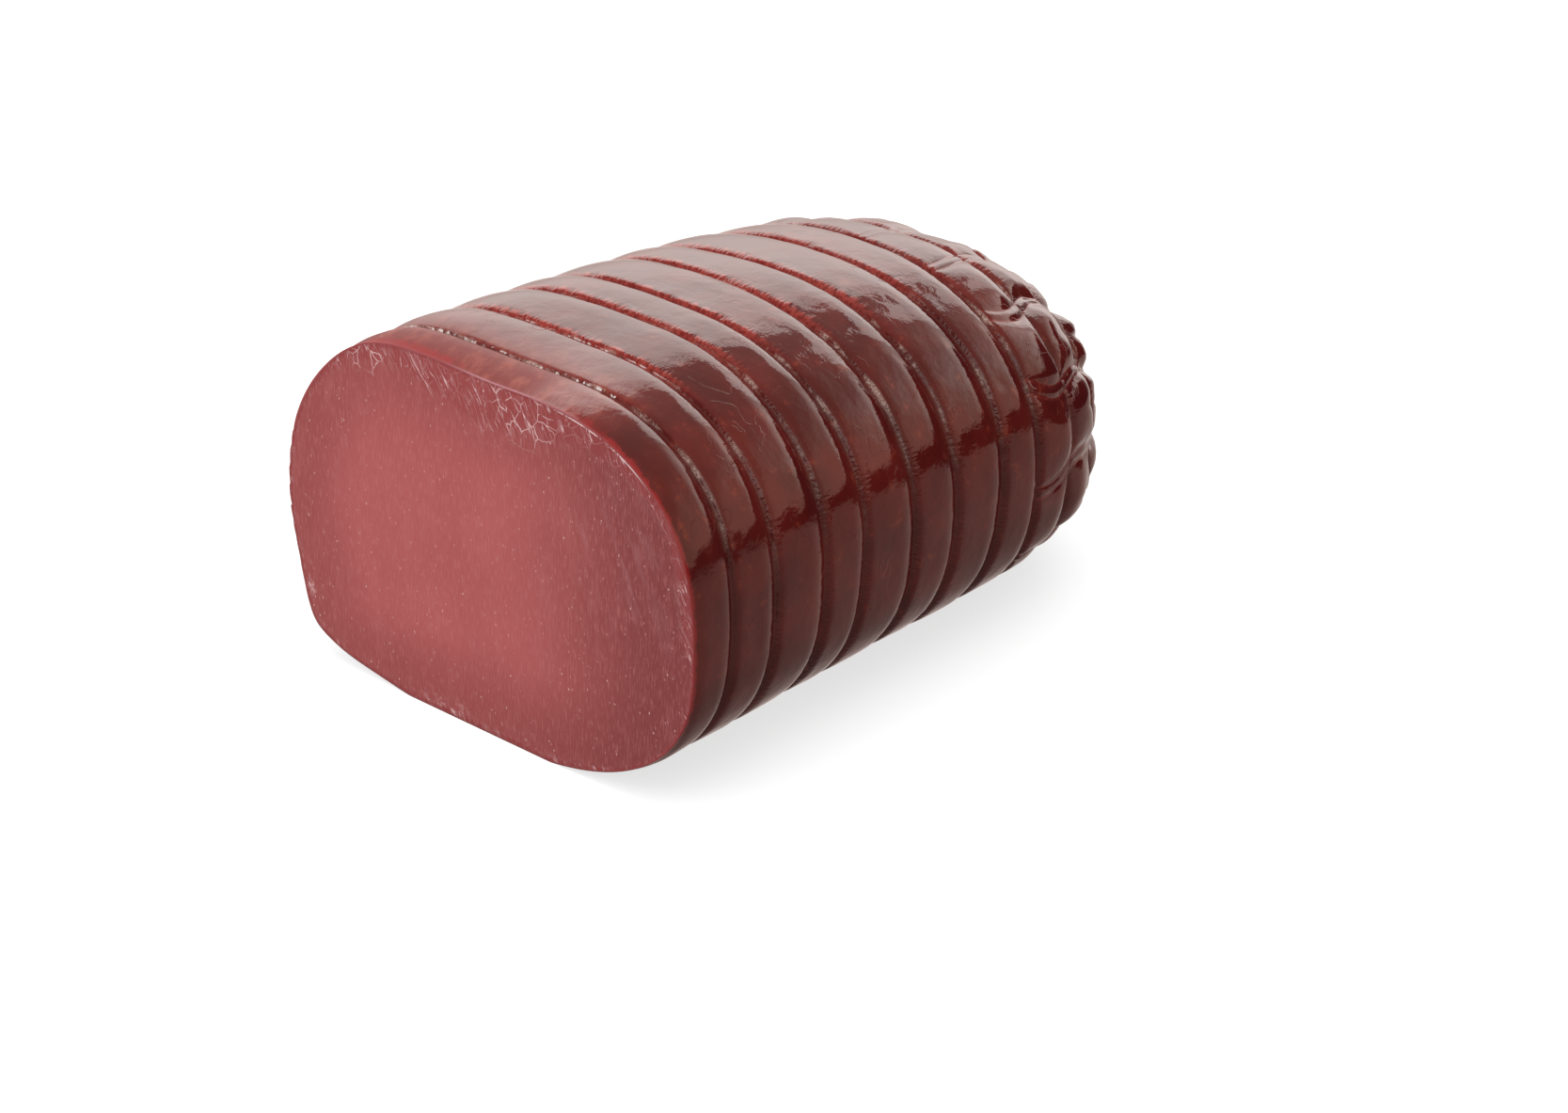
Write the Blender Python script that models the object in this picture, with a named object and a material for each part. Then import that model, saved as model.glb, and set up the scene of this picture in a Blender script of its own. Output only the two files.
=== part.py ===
"""Bresaola: half of an air-dried beef log, cut across, as one solid.

The log lies along Y. The cut face looks to -Y, the tied end closes at +Y, and the log rests on
the floor, z = 0. Lengths are in metres. A point of the skin is given by its path, the distance
from the cut along the skin, and its turn, the fraction of the way round from +X over the top.
"""
import bmesh
import bpy
import numpy as np

NAME = "bresaola"

# Cut section
CUT_WIDTH = 0.136
CUT_HEIGHT = 0.091
WIDEST_LEVEL = 0.042
TOP_LEAN = 0.105
ROUNDNESS = {"top_right": 2.26, "top_left": 2.54, "bottom_left": 2.46, "bottom_right": 2.56}
# Where the section near the cut leaves that oval: direction, spread in degrees, share of radius
EDGE_SWELLS = [
    (8, 16, -0.027),
    (45, 16, 0.010),
    (88, 28, -0.048),
    (132, 14, 0.025),
    (196, 13, -0.038),
    (210, 12, 0.071),
]
EDGE_SWELL_REACH = 0.045

# Body along its length
LENGTH = 0.178
CLOSING_START = 0.132
CLOSING_ROUNDNESS = 2.35
NARROWING = 0.19
LOWERING = 0.16
BELLY = 0.045
AXIS_DRIFT = -0.010
NOSE_HEIGHT = 0.032
SETTLE = 0.0012

# Net imprint: rings round the log, then cords along it on the closing end
RING_GAPS = [0.0136, 0.0151, 0.0183, 0.0129, 0.0182, 0.0159, 0.0171, 0.0151, 0.0154,
             0.0145, 0.0135, 0.0120, 0.0110]
RING_HALF_WIDTH = 0.0018
RING_DEPTH = 0.0014
BAND_CROWN = 0.0007
RING_WANDER = 0.0009
FIRST_NETTED_RING = 7
CORDS_ROUND = 15
CORD_HALF_WIDTH = 0.0017
CORD_DEPTH = 0.0012
CELL_CROWN = 0.0016
# Closing factor under which the imprint shrinks with the cells, towards the tie
ROOMY_CLOSING = 0.7

# Mesh resolution
STEPS_PER_CORD = 5
TABLE_STEPS = 720

COLOUR = (0.16, 0.028, 0.026, 1.0)


def clear_scene():
    for item in list(bpy.data.objects):
        bpy.data.objects.remove(item, do_unlink=True)


def smooth(low, high, value):
    t = np.clip((value - low) / (high - low), 0.0, 1.0)
    return t * t * (3.0 - 2.0 * t)


def quadrant_power(angle):
    right = np.cos(angle) >= 0.0
    top = np.where(right, ROUNDNESS["top_right"], ROUNDNESS["top_left"])
    bottom = np.where(right, ROUNDNESS["bottom_right"], ROUNDNESS["bottom_left"])
    return np.where(np.sin(angle) >= 0.0, top, bottom)


def outline(angle):
    """The cut's outline about its widest level: a superellipse with unlike quarters, leaning."""
    power = 2.0 / quadrant_power(angle)
    cosine, sine = np.cos(angle), np.sin(angle)
    reach = np.where(sine >= 0.0, CUT_HEIGHT - WIDEST_LEVEL, WIDEST_LEVEL)
    x = CUT_WIDTH / 2.0 * np.sign(cosine) * np.abs(cosine) ** power
    z = reach * np.sign(sine) * np.abs(sine) ** power
    return x + TOP_LEAN * z, z


def turn_table():
    """Shares of the outline's length against its angles, for even turns, and that length."""
    angle = np.linspace(0.0, 2.0 * np.pi, TABLE_STEPS + 1)
    x, z = outline(angle)
    run = np.concatenate([[0.0], np.cumsum(np.hypot(np.diff(x), np.diff(z)))])
    return run / run[-1], angle, run[-1]


def path_table():
    """Distance along the skin, distance along Y and closing factor, from the cut to the tie."""
    sweep = np.linspace(0.0, np.pi / 2.0, TABLE_STEPS)
    power = 2.0 / CLOSING_ROUNDNESS
    along = CLOSING_START + (LENGTH - CLOSING_START) * np.sin(sweep) ** power
    closing = np.abs(np.cos(sweep)) ** power
    closing[-1] = 0.0
    mean_radius = (CUT_WIDTH + CUT_HEIGHT) / 4.0
    run = np.cumsum(np.hypot(np.diff(along), np.diff(closing * mean_radius)))
    path = np.concatenate([[0.0, CLOSING_START], CLOSING_START + run])
    return path, np.concatenate([[0.0], along]), np.concatenate([[1.0], closing])


TURNS, ANGLES, SKIN_ROUND = turn_table()
PATHS, ALONGS, CLOSINGS = path_table()
PATH_END = PATHS[-1]
RINGS = np.cumsum(RING_GAPS)


def edge_swell(x, z, along):
    direction = np.degrees(np.arctan2(z, x))
    swell = np.zeros_like(x)
    for middle, spread, height in EDGE_SWELLS:
        off = (direction - middle + 180.0) % 360.0 - 180.0
        swell = swell + height * np.exp(-(off / spread) ** 2)
    return 1.0 + swell * np.exp(-(along / EDGE_SWELL_REACH) ** 2)


def bare_skin(path, turn):
    """A point of the skin without the net's imprint."""
    along = np.interp(path, PATHS, ALONGS)
    closing = np.interp(path, PATHS, CLOSINGS)
    share = along / LENGTH
    wide = (1.0 - NARROWING * share) * closing
    tall = 1.0 - LOWERING * share + BELLY * 4.0 * share * (1.0 - share)
    x, z = outline(np.interp(turn % 1.0, TURNS, ANGLES))
    swell = edge_swell(x, z, along)
    middle = WIDEST_LEVEL * tall * closing + NOSE_HEIGHT * (1.0 - closing)
    across = x * swell * wide + AXIS_DRIFT * share
    return np.stack([across, along, middle + z * swell * tall * closing - SETTLE], axis=-1)


def outward(path, turn):
    """The skin's outward direction, from small steps along and round it."""
    step = 0.0005
    round_step = 0.002
    low = np.maximum(path - step, 0.0)
    high = np.minimum(path + step, PATH_END - step)
    lengthwise = bare_skin(high, turn) - bare_skin(np.minimum(low, high - step), turn)
    crosswise = bare_skin(np.minimum(path, high), turn + round_step)
    crosswise = crosswise - bare_skin(np.minimum(path, high), turn - round_step)
    normal = np.cross(lengthwise, crosswise)
    return normal / np.linalg.norm(normal, axis=-1, keepdims=True)


def ring_wander(path, turn):
    """How far each ring strays along the log, fading out at the cut and at the tie."""
    lean = np.interp(path, RINGS, RING_WANDER * np.sin(2.3 * np.arange(len(RINGS))))
    bend = np.interp(path, RINGS, RING_WANDER * np.cos(1.7 * np.arange(len(RINGS))))
    wave = lean * np.sin(2.0 * np.pi * turn) + bend * np.sin(4.0 * np.pi * turn + path / 0.03)
    return wave * smooth(0.0, RINGS[0], path) * (1.0 - smooth(RINGS[-1], PATH_END, path))


def imprint(path, turn):
    """Height of the skin over the bare form: bands and cells stand out, cords press in."""
    edges = np.concatenate([[0.0], RINGS, [PATH_END]])
    band = np.clip(np.searchsorted(edges, path, side="right") - 1, 0, len(edges) - 2)
    share = (path - edges[band]) / (edges[band + 1] - edges[band])
    bow = 1.0 - (2.0 * share - 1.0) ** 4
    first = RINGS[FIRST_NETTED_RING]
    netted = smooth(first, first + RING_HALF_WIDTH, path)
    gathered = smooth(first, RINGS[-1], path)
    room = np.clip(np.interp(path, PATHS, CLOSINGS) / ROOMY_CLOSING, 0.0, 1.0)
    cord_share = (turn * CORDS_ROUND) % 1.0
    cell = 1.0 - (2.0 * cord_share - 1.0) ** 4
    crown = BAND_CROWN * bow + CELL_CROWN * gathered * bow * cell
    gap = np.min(np.abs(path[..., None] - RINGS), axis=-1)
    ring = RING_DEPTH * (1.0 + gathered) * np.exp(-(gap / RING_HALF_WIDTH) ** 2)
    cord_gap = np.minimum(cord_share, 1.0 - cord_share) * SKIN_ROUND / CORDS_ROUND
    cord = CORD_DEPTH * netted * (1.0 + gathered) * np.exp(-(cord_gap / CORD_HALF_WIDTH) ** 2)
    return (crown - np.maximum(ring, cord)) * room * smooth(0.0, RING_HALF_WIDTH, path)


def skin(path, turn):
    """A point of the finished skin; what would reach under the floor lies flat on it."""
    strayed = path + ring_wander(path, turn)
    point = bare_skin(strayed, turn) + outward(strayed, turn) * imprint(path, turn)[..., None]
    point[..., 2] = np.maximum(point[..., 2], 0.0)
    return point


def loop_paths():
    """Paths of the loops: three at each ring and one or two on the crown between rings."""
    paths = [0.0, RING_HALF_WIDTH, RINGS[0] / 2.0]
    for number, ring in enumerate(RINGS):
        paths += [ring - RING_HALF_WIDTH, ring, ring + RING_HALF_WIDTH]
        last = number == len(RINGS) - 1
        following = PATH_END if last else RINGS[number + 1] - RING_HALF_WIDTH
        start = ring + RING_HALF_WIDTH
        parts = 3 if number >= FIRST_NETTED_RING else 2
        paths += [start + (following - start) * part / parts for part in range(1, parts)]
    return np.array(paths)


def build_log():
    """A UV sphere whose loops become the log's rings: one pole the cut's middle, one the tie."""
    paths = loop_paths()
    around = CORDS_ROUND * STEPS_PER_CORD
    path, turn = np.meshgrid(paths, np.arange(around) / around, indexing="ij")
    points = skin(path, turn)
    points[0, :, 1] = 0.0
    cut_middle = np.array([0.0, 0.0, WIDEST_LEVEL])
    tie = bare_skin(np.array([PATH_END]), np.array([0.0]))[0]
    everything = np.vstack([points.reshape(-1, 3), tie])
    low, high = everything.min(axis=0), everything.max(axis=0)
    middle = (low + high) / 2.0
    shift = np.array([-middle[0], -middle[1], -low[2]])

    mesh_data = bmesh.new()
    rows = len(paths) + 1
    bmesh.ops.create_uvsphere(mesh_data, u_segments=around, v_segments=rows, radius=1.0)
    for vertex in mesh_data.verts:
        row = int(round(np.arccos(np.clip(vertex.co.z, -1.0, 1.0)) / np.pi * rows))
        column = int(round(np.arctan2(vertex.co.y, vertex.co.x) / (2.0 * np.pi) * around)) % around
        if row == 0:
            place = cut_middle
        elif row == rows:
            place = tie
        else:
            place = points[row - 1, column]
        vertex.co = place + shift
    bmesh.ops.triangulate(mesh_data, faces=mesh_data.faces[:])
    mesh = bpy.data.meshes.new(NAME)
    mesh_data.to_mesh(mesh)
    mesh_data.free()
    return mesh


def meat_material():
    material = bpy.data.materials.new("cured_beef")
    material.use_nodes = True
    shader = material.node_tree.nodes["Principled BSDF"]
    shader.inputs["Base Color"].default_value = COLOUR
    shader.inputs["Roughness"].default_value = 0.35
    shader.inputs["Metallic"].default_value = 0.0
    return material


def main():
    clear_scene()
    collection = bpy.data.collections.new(NAME)
    bpy.context.scene.collection.children.link(collection)
    mesh = build_log()
    mesh.materials.append(meat_material())
    mesh.shade_smooth()
    mesh.set_sharp_from_angle(angle=np.radians(40.0))
    log = bpy.data.objects.new(NAME, mesh)
    collection.objects.link(log)


main()
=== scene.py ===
"""Bresaola: the looks. Glossy net-marked skin, a satin pink-red cut face, plain soft studio light.

Lengths are in metres. A point of the skin is given by its path, the distance from the cut along
the skin, and its turn, the fraction of the way round from +X over the top.
"""

import bpy
import numpy as np
from mathutils import Matrix, Vector


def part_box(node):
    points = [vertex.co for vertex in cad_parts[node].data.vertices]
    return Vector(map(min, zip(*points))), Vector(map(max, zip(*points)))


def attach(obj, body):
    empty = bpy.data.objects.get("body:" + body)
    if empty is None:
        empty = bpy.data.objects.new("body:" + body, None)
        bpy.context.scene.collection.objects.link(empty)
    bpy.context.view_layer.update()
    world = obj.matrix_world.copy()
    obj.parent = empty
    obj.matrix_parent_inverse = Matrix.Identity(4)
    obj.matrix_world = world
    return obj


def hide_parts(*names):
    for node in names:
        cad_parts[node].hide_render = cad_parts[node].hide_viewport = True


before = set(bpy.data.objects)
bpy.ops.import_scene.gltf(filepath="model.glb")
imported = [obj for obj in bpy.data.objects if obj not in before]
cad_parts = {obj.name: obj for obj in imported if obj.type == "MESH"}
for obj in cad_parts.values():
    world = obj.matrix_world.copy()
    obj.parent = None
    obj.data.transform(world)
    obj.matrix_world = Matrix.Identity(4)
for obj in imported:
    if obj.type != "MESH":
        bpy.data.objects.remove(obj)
NODE = "bresaola"
BODY = "root"
SEED = 20
MM = 0.001
WAVES = 28
# Which seeded draw each unevenness takes
DRAWS = {"uneven": 1, "ring fade": 2, "own crown": 3, "broad lumps": 4, "fine lumps": 5,
         "broad knobs": 6, "fine knobs": 7, "pucker places": 8, "puckers": 9, "cord wander": 10,
         "tied wander": 12, "jags": 13, "crust width": 14, "parted cords": 15}

# Cut section
CUT_WIDTH = 0.136
CUT_HEIGHT = 0.091
WIDEST_LEVEL = 0.042
TOP_LEAN = 0.105
ROUNDNESS = {"top_right": 2.26, "top_left": 2.54, "bottom_left": 2.46, "bottom_right": 2.56}
# Where the section near the cut leaves that oval: direction, spread in degrees, share of radius
EDGE_SWELLS = [
    (8, 16, -0.027),
    (45, 16, 0.010),
    (88, 28, -0.048),
    (132, 14, 0.025),
    (196, 13, -0.038),
    (210, 12, 0.071),
]
EDGE_SWELL_REACH = 0.045

# Body along its length
LENGTH = 0.178
CLOSING_START = 0.132
CLOSING_ROUNDNESS = 2.35
NARROWING = 0.19
LOWERING = 0.16
BELLY = 0.045
AXIS_DRIFT = -0.010
NOSE_HEIGHT = 0.032
SETTLE = 0.0012

# Net imprint: rings round the log, then double cords along it on the closing end
RING_GAPS = [0.0136, 0.0151, 0.0183, 0.0129, 0.0182, 0.0159, 0.0171, 0.0151, 0.0154,
             0.0145, 0.0135, 0.0120, 0.0110]
RING_NEAR_WIDTH = 0.0006
RING_FAR_WIDTH = 0.0014
RING_DEPTH_TOP = 0.0009
RING_DEPTH_SIDE = 0.0004
CRUST_OFFSET = 0.0004
CRUST_HALF_WIDTH = 0.00022
CRUST_ON_TOP = [1.0, 0.7, 0.5] + [0.3] * (len(RING_GAPS) - 3)
# Painted glints along the first rings: share on each ring, place past the ring and half width
GLINTS_ON_TOP = [1.0, 0.7, 0.4] + [0.0] * (len(RING_GAPS) - 3)
GLINT_OFFSET = 0.0003
GLINT_HALF_WIDTH = 0.0002
SEAM_FAR_WIDTH = 0.0008
# Half width of the painted dark line of shade at the bottom of each ring groove
CREASE_SHADE_HALF_WIDTH = 0.00035
BAND_CROWN_TOP = 0.0004
BAND_CROWN_LEFT = 0.0009
BAND_CROWN_SIDE = 0.0016
LEFT_RISE = 0.0010
NEAR_SQUARENESS = 14.0
LEFT_SQUARENESS = 2.2
NICK_DEPTH = 0.00045
CORNER_RISE = 0.0006
SHOULDER_START = 0.35
SHOULDER_ROUNDNESS = 1.6
RING_WANDER = 0.0009
FIRST_NETTED_RING = 7
CORDS_ROUND = 15
CORD_PAIR_GAP = 0.0034
CORD_HALF_WIDTH = 0.0006
CORD_DEPTH = 0.0007
CORD_WANDER = 0.10
CELL_CROWN = 0.0020
PILLOW_SQUARENESS = 2.3
PILLOW_ROUNDNESS = 2.2
TIED_WANDER = 0.0010
ROOMY_CLOSING = 0.7
CUT_MARGIN = 3.0 * MM

# Unevenness of the skin: height and wavelength
BROAD_LUMPS = (0.16 * MM, 42 * MM)
FINE_LUMPS = (0.025 * MM, 9 * MM)
BROAD_KNOBS = (0.25 * MM, 12 * MM)
FINE_KNOBS = (0.20 * MM, 6.5 * MM)
PUCKERS = (0.05 * MM, 5 * MM)

# Where stretches of the skin begin and end on the way round, each as a soft step
TOP_TURN = 0.25
UPPER_SIDE = ((0.14, 0.20), (0.50, 0.60))
MATT_SIDE = ((0.18, 0.24), (0.50, 0.60))
CRUSTED_SIDE = ((0.01, 0.10), (0.50, 0.60))
LEFT_SIDE = ((0.29, 0.37), (0.62, 0.70))
NICKED_SIDE = ((0.46, 0.49), (0.56, 0.59))
RED_TOP = ((0.26, 0.30), (0.38, 0.42))
CORNER_TURN = 0.605
CORNER_SPREAD = 0.011
NICKS_ROUND = 74.0

# Mesh resolution
CORD_STEPS = [0.02, 0.045, 0.06, 0.068, 0.076, 0.085, 0.105, 0.145, 0.20, 0.27, 0.34, 0.42]
STEPS_ROUND = CORDS_ROUND * (2 * len(CORD_STEPS) + 2)
TABLE_STEPS = 720
CUT_EDGE_STEPS = [0.0, 0.25 * MM, 0.6 * MM, 1.2 * MM, 2.1 * MM]
RING_STEPS = [-2.0, -1.4, -0.9, -0.55, -0.25, 0.0, 0.3, 0.65, 1.0, 1.4, 2.0]
BAND_STEP = 1.7 * MM
TIED_STEP = 1.2 * MM
TIE_GAP = 0.4 * MM
FACE_LOOPS = 40
FACE_CROWDING = 1.6
LIP = 0.0004
# Points taken along and round the bare form to find its middle
FORM_SAMPLES = (60, 90)

# On the cut face: places of a net of white tissue and of a painted sheen, and how far they reach
NET_PLACE = (0.014, 0.086)
NET_REACH = 0.017
CORNER_NET_PLACE = (-0.0395, 0.084)
CORNER_NET_REACH = 0.011
SHEEN_PLACE = (0.046, 0.058)
SHEEN_REACH = 0.034

# Colours of the skin, of the cut face, and of the room that the gloss mirrors
WHITE = (1.0, 1.0, 1.0, 1.0)
STAGE_GREY = (0.40, 0.40, 0.40, 1.0)
FILL_LIGHT = (0.42, 0.42, 0.42, 1.0)
GLOSS_TINT = (1.0, 0.95, 0.92, 1.0)
SKIN = {
    "dark": (0.055, 0.0036, 0.0036, 1.0),
    "light": (0.095, 0.0080, 0.0062, 1.0),
    "fleck": (0.20, 0.030, 0.013, 1.0),
    "fresh": (0.15, 0.016, 0.014, 1.0),
    "pale fresh": (0.24, 0.050, 0.035, 1.0),
    "red edge": (0.20, 0.009, 0.010, 1.0),
    "lip": (0.27, 0.050, 0.050, 1.0),
    "lip highlight": (0.37, 0.16, 0.175, 1.0),
    "red lip": (0.20, 0.012, 0.013, 1.0),
    "wall": (0.15, 0.014, 0.011, 1.0),
    "pale wall": (0.26, 0.036, 0.028, 1.0),
    "crease_shade": (0.030, 0.0030, 0.0030, 1.0),
    "crust": (0.21, 0.10, 0.08, 1.0),
    "pale crust": (0.52, 0.40, 0.34, 1.0),
    "glint": (0.62, 0.54, 0.52, 1.0),
    "grain": (0.42, 0.34, 0.30, 1.0),
}
FACE = {
    "lean": (0.355, 0.071, 0.070, 1.0),
    "pale lean": (0.405, 0.088, 0.086, 1.0),
    "outer": (0.27, 0.050, 0.050, 1.0),
    "right": (0.175, 0.027, 0.028, 1.0),
    "fine fibre": (0.50, 0.18, 0.17, 1.0),
    "broad fibre": (0.46, 0.15, 0.15, 1.0),
    "painted_sheen": (0.42, 0.20, 0.22, 1.0),
    "round veins": (0.25, 0.028, 0.030, 1.0),
    "speck": (0.66, 0.40, 0.38, 1.0),
    "dust": (0.62, 0.34, 0.33, 1.0),
    "flake": (0.62, 0.38, 0.37, 1.0),
    "vein": (0.66, 0.42, 0.42, 1.0),
    "rim": (0.21, 0.022, 0.024, 1.0),
    "rim highlight": (0.80, 0.62, 0.62, 1.0),
}
ROOM = {
    "warm wall": (1.22, 0.74, 0.59, 1.0),
    "high wall": (0.62, 0.36, 0.28, 1.0),
    "left wall": (0.56, 0.42, 0.38, 1.0),
    "right wall": (0.86, 0.54, 0.43, 1.0),
    "dark left": (0.20, 0.15, 0.14, 1.0),
    "back": (2.30, 1.95, 1.78, 1.0),
    "high back": (0.62, 0.44, 0.38, 1.0),
    "ceiling": (0.66, 0.46, 0.40, 1.0),
    "left skyline": (0.75, 0.62, 0.58, 1.0),
    "skyline": (0.06, 0.03, 0.028, 1.0),
    "left floor": (1.25, 1.14, 1.08, 1.0),
    "floor": (0.66, 0.54, 0.50, 1.0),
    "right floor": (0.56, 0.38, 0.33, 1.0),
    "far left floor": (0.50, 0.42, 0.39, 1.0),
    "near floor": (0.32, 0.24, 0.22, 1.0),
    "softbox": (2.25, 2.06, 1.97, 1.0),
    "front": (1.5, 1.4, 1.35, 1.0),
}

# Camera: azimuth, elevation, lens, and where the foot of the cut stands in the picture
AZIMUTH = np.radians(45.0)
ELEVATION = np.radians(25.0)
PICTURE = (1667.0, 1183.0)
FOCAL_PIXELS = 6000.0
SENSOR = 36.0
FOOT_PIXEL = (521.3, 785.0)
FOOT_DEPTH = 1.2757
LIT_POINT = (0.0, 0.0, 0.045)
# Top edge of the mirrored back softbox, in degrees: elevation + slope x azimuth
SOFTBOX_SLOPE = 0.93
SOFTBOX_TOP = -1.0
SOFTBOX_SEAM = -5.0
FLOOR_GLOW = 0.70
FLOOR_HALF = 0.6
# Panels that light the log: azimuth and elevation, half angle that each spans, and glow
LAMP_DISTANCE = 1.5
LAMPS = {
    "front_lamp": (198.0, 28.0, 24.0, 2.85),
    "top_lamp": (10.0, 85.0, 36.0, 1.9),
    "right_lamp": (100.0, 30.0, 24.0, 0.7),
}


def smooth(low, high, value):
    t = np.clip((value - low) / (high - low), 0.0, 1.0)
    return t * t * (3.0 - 2.0 * t)


def blend(first, second, share):
    return first + (second - first) * share


def between(value, rising, falling):
    """1 between two soft steps, 0 outside them."""
    return smooth(*rising, value) * (1.0 - smooth(*falling, value))


def hill(value, middle, spread):
    """1 at the middle, falling off on both sides."""
    return np.exp(-((value - middle) / spread) ** 2)


def turns_apart(turn, middle):
    """The shorter way round between two turns."""
    return np.abs((turn - middle + 0.5) % 1.0 - 0.5)


def ripple(points, length, name):
    """Smooth unevenness of about +-1 with that wavelength, from seeded plane waves."""
    draw = np.random.default_rng(SEED + DRAWS[name])
    total = np.zeros(points.shape[:-1])
    for _ in range(WAVES):
        direction = draw.normal(size=3)
        direction /= np.linalg.norm(direction)
        own_length = length * draw.uniform(0.7, 1.5)
        total += np.sin(points @ direction * (2.0 * np.pi / own_length) + draw.uniform(0.0, 6.283))
    return total / np.sqrt(WAVES / 2.0) / 1.6


def relief(points, form, name):
    """Unevenness with that height and wavelength."""
    height, length = form
    return height * ripple(points, length, name)


# The bare form
def quadrant_power(angle):
    right = np.cos(angle) >= 0.0
    top = np.where(right, ROUNDNESS["top_right"], ROUNDNESS["top_left"])
    bottom = np.where(right, ROUNDNESS["bottom_right"], ROUNDNESS["bottom_left"])
    return np.where(np.sin(angle) >= 0.0, top, bottom)


def outline(angle):
    """The cut's outline about its widest level: a superellipse with unlike quarters, leaning."""
    power = 2.0 / quadrant_power(angle)
    cosine, sine = np.cos(angle), np.sin(angle)
    reach = np.where(sine >= 0.0, CUT_HEIGHT - WIDEST_LEVEL, WIDEST_LEVEL)
    x = CUT_WIDTH / 2.0 * np.sign(cosine) * np.abs(cosine) ** power
    z = reach * np.sign(sine) * np.abs(sine) ** power
    return x + TOP_LEAN * z, z


def turn_table():
    """Shares of the outline's length against its angles, for even turns, and that length."""
    angle = np.linspace(0.0, 2.0 * np.pi, TABLE_STEPS + 1)
    x, z = outline(angle)
    run = np.concatenate([[0.0], np.cumsum(np.hypot(np.diff(x), np.diff(z)))])
    return run / run[-1], angle, run[-1]


def path_table():
    """Distance along the skin, distance along Y and closing factor, from the cut to the tie."""
    sweep = np.linspace(0.0, np.pi / 2.0, TABLE_STEPS)
    power = 2.0 / CLOSING_ROUNDNESS
    along = CLOSING_START + (LENGTH - CLOSING_START) * np.sin(sweep) ** power
    closing = np.abs(np.cos(sweep)) ** power
    closing[-1] = 0.0
    mean_radius = (CUT_WIDTH + CUT_HEIGHT) / 4.0
    run = np.cumsum(np.hypot(np.diff(along), np.diff(closing * mean_radius)))
    path = np.concatenate([[0.0, CLOSING_START], CLOSING_START + run])
    return path, np.concatenate([[0.0], along]), np.concatenate([[1.0], closing])


TURNS, ANGLES, SKIN_ROUND = turn_table()
PATHS, ALONGS, CLOSINGS = path_table()
PATH_END = PATHS[-1]
RINGS = np.cumsum(RING_GAPS)


def edge_swell(x, z, along):
    direction = np.degrees(np.arctan2(z, x))
    swell = np.zeros_like(x)
    for middle, spread, height in EDGE_SWELLS:
        off = (direction - middle + 180.0) % 360.0 - 180.0
        swell = swell + height * hill(off, 0.0, spread)
    return 1.0 + swell * hill(along, 0.0, EDGE_SWELL_REACH)


def bare_skin(path, turn):
    """A point of the skin without the net's imprint."""
    along = np.interp(path, PATHS, ALONGS)
    closing = np.interp(path, PATHS, CLOSINGS)
    share = along / LENGTH
    wide = (1.0 - NARROWING * share) * closing
    tall = 1.0 - LOWERING * share + BELLY * 4.0 * share * (1.0 - share)
    x, z = outline(np.interp(turn % 1.0, TURNS, ANGLES))
    swell = edge_swell(x, z, along)
    middle = WIDEST_LEVEL * tall * closing + NOSE_HEIGHT * (1.0 - closing)
    across = x * swell * wide + AXIS_DRIFT * share
    return np.stack([across, along, middle + z * swell * tall * closing - SETTLE], axis=-1)


def outward(path, turn):
    """The skin's outward direction, from small steps along and round it."""
    step = 0.0005
    round_step = 0.002
    low = np.maximum(path - step, 0.0)
    high = np.minimum(path + step, PATH_END - step)
    lengthwise = bare_skin(high, turn) - bare_skin(np.minimum(low, high - step), turn)
    crosswise = bare_skin(np.minimum(path, high), turn + round_step)
    crosswise = crosswise - bare_skin(np.minimum(path, high), turn - round_step)
    normal = np.cross(lengthwise, crosswise)
    return normal / np.linalg.norm(normal, axis=-1, keepdims=True)


def ring_wander(path, turn):
    """How far each ring strays along the log, fading out at the cut and at the tie."""
    lean = np.interp(path, RINGS, RING_WANDER * np.sin(2.3 * np.arange(len(RINGS))))
    bend = np.interp(path, RINGS, RING_WANDER * np.cos(1.7 * np.arange(len(RINGS))))
    wave = lean * np.sin(2.0 * np.pi * turn) + bend * np.sin(4.0 * np.pi * turn + path / 0.03)
    return wave * smooth(0.0, RINGS[0], path) * (1.0 - smooth(RINGS[-1], PATH_END, path))


def cell_draw(band, cell, low, high, name):
    """A seeded value for each cell of the net."""
    draw = np.random.default_rng(SEED + DRAWS[name])
    table = draw.uniform(low, high, (len(RINGS) + 1, CORDS_ROUND))
    return table[band, cell % CORDS_ROUND]


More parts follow.
